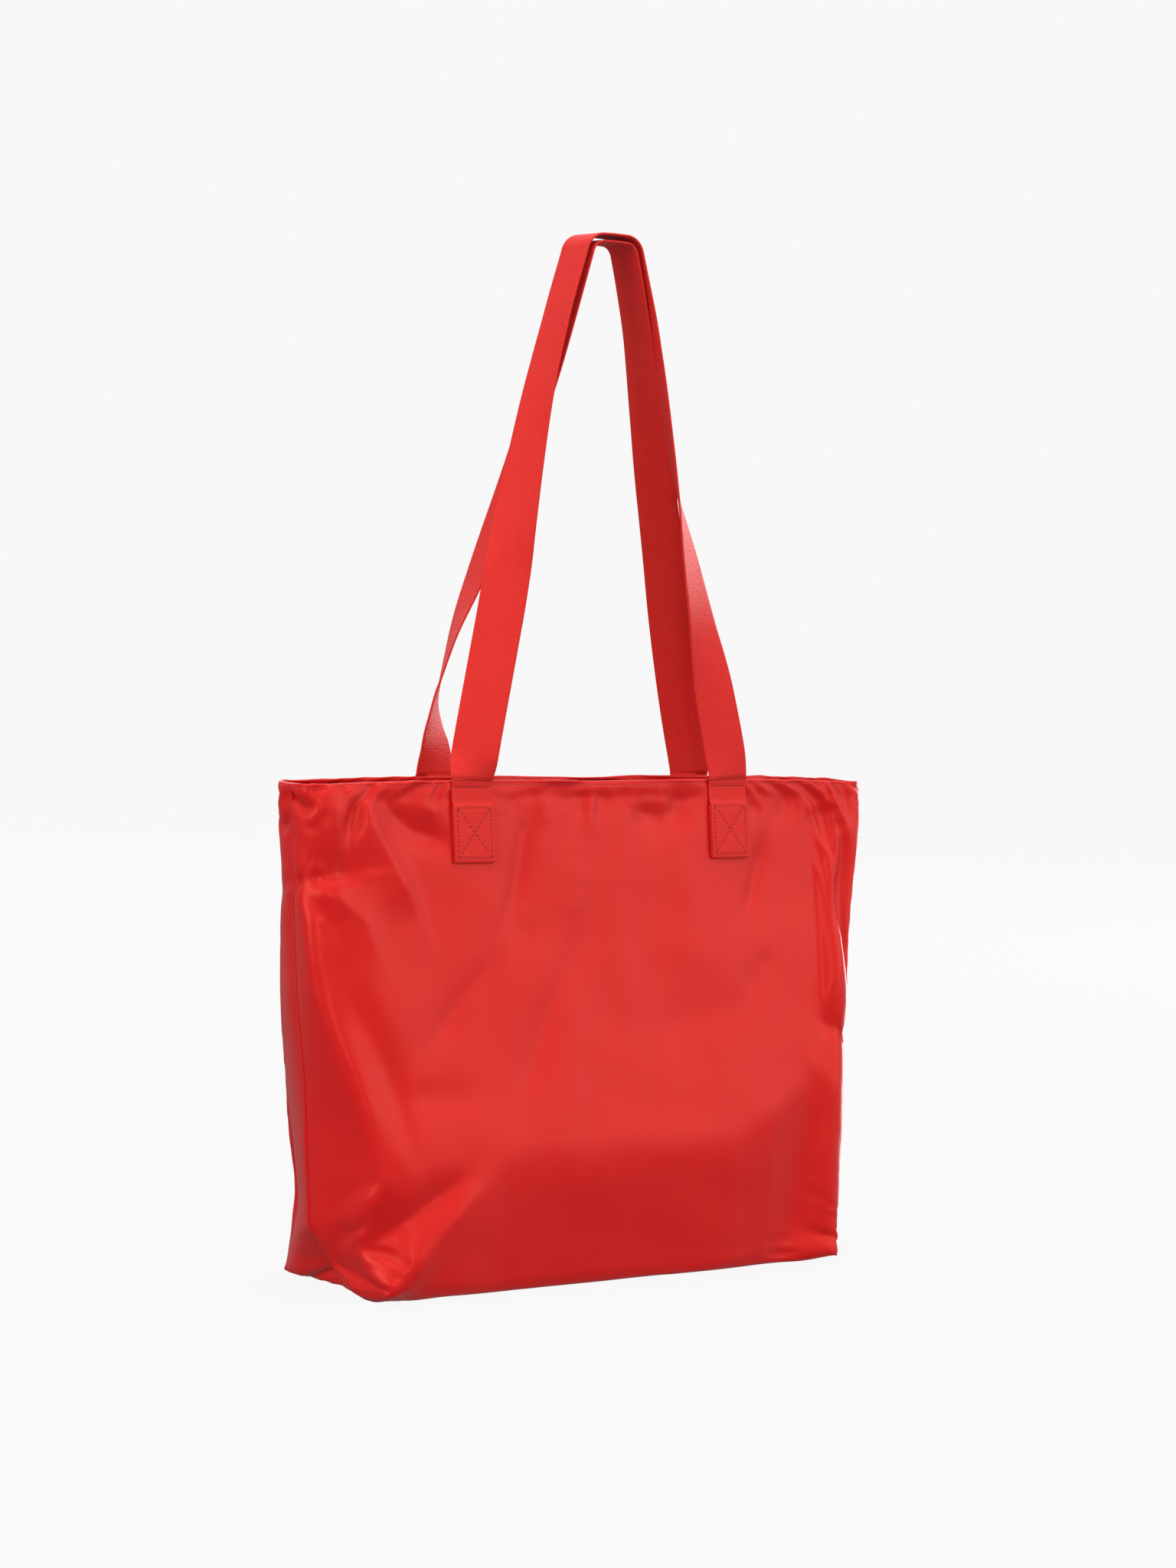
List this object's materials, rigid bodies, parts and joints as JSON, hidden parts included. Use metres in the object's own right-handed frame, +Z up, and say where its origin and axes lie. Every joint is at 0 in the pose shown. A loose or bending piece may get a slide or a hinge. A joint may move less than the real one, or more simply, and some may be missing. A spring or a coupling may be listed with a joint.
{
  "type": "foldable tote bag",
  "caption": "Light cloth tote bag with a boxed base, narrow hemmed mouth, two long flat webbing shoulder handles and a zipped inner pocket.",
  "frame": {"origin": "middle of the base at the level the bag stands on", "axes": "+X along the bag's width, the front panel faces -Y, +Z up towards the handles"},
  "size_m": [0.469, 0.135, 0.714],
  "materials": {
    "cloth": "satin",
    "webbing": "satin",
    "thread": "satin",
    "binding": "matte",
    "label": "satin",
    "zip_tape": "matte",
    "zip_teeth": "satin",
    "zip_metal": "satin"
  },
  "bodies": {
    "base": {"base_panel": "cloth", "left_gusset_front": "cloth", "left_gusset_back": "cloth", "right_gusset_front": "cloth", "right_gusset_back": "cloth", "left_hem": "cloth", "right_hem": "cloth", "left_side_seam": "binding", "right_side_seam": "binding", "left_corner_seam": "binding", "right_corner_seam": "binding", "bottom_seam": "binding", "care_label": "label"},
    "front_wall": {"front_panel": "cloth", "front_hem": "cloth", "front_left_handle_end": "webbing", "front_right_handle_end": "webbing", "front_box_stitching": "thread"},
    "back_wall": {"back_panel": "cloth", "back_hem": "cloth", "back_left_handle_end": "webbing", "back_right_handle_end": "webbing", "back_box_stitching": "thread", "zip_tape_lower": "zip_tape", "zip_tape_upper": "zip_tape", "pocket_panel": "cloth", "pocket_header": "cloth", "zip_coil": "zip_teeth", "zip_end_stops": "zip_metal"},
    "front_handle": {"front_handle": "webbing"},
    "back_handle": {"back_handle": "webbing"},
    "zip_slider": {"zip_slider": "zip_metal"},
    "zip_pull": {"zip_pull": "zip_metal"}
  },
  "joints": [
    {"name": "front_wall_swing", "type": "hinge", "parent": "base", "child": "front_wall", "pos_m": [0, -0.06666, 0.0017], "axis": [1, 0, 0], "range_deg": [0, 6]},
    {"name": "back_wall_swing", "type": "hinge", "parent": "base", "child": "back_wall", "pos_m": [0, 0.06666, 0.0017], "axis": [-1, 0, 0], "range_deg": [0, 6]},
    {"name": "front_handle_fold", "type": "hinge", "parent": "front_wall", "child": "front_handle", "pos_m": [0, -0.023, 0.341], "axis": [1, 0, 0], "range_deg": [0, 150]},
    {"name": "back_handle_fold", "type": "hinge", "parent": "back_wall", "child": "back_handle", "pos_m": [0, 0.023, 0.341], "axis": [-1, 0, 0], "range_deg": [0, 150]},
    {"name": "zip_slide", "type": "slide", "parent": "back_wall", "child": "zip_slider", "axis": [1, 0, 0], "range_m": [0, 0.157]},
    {"name": "zip_pull_swing", "type": "hinge", "parent": "zip_slider", "child": "zip_pull", "pos_m": [-0.0785, 0.02073, 0.2945], "axis": [0, 0.1369, -0.9906], "range_deg": [0, 170]}
  ]
}
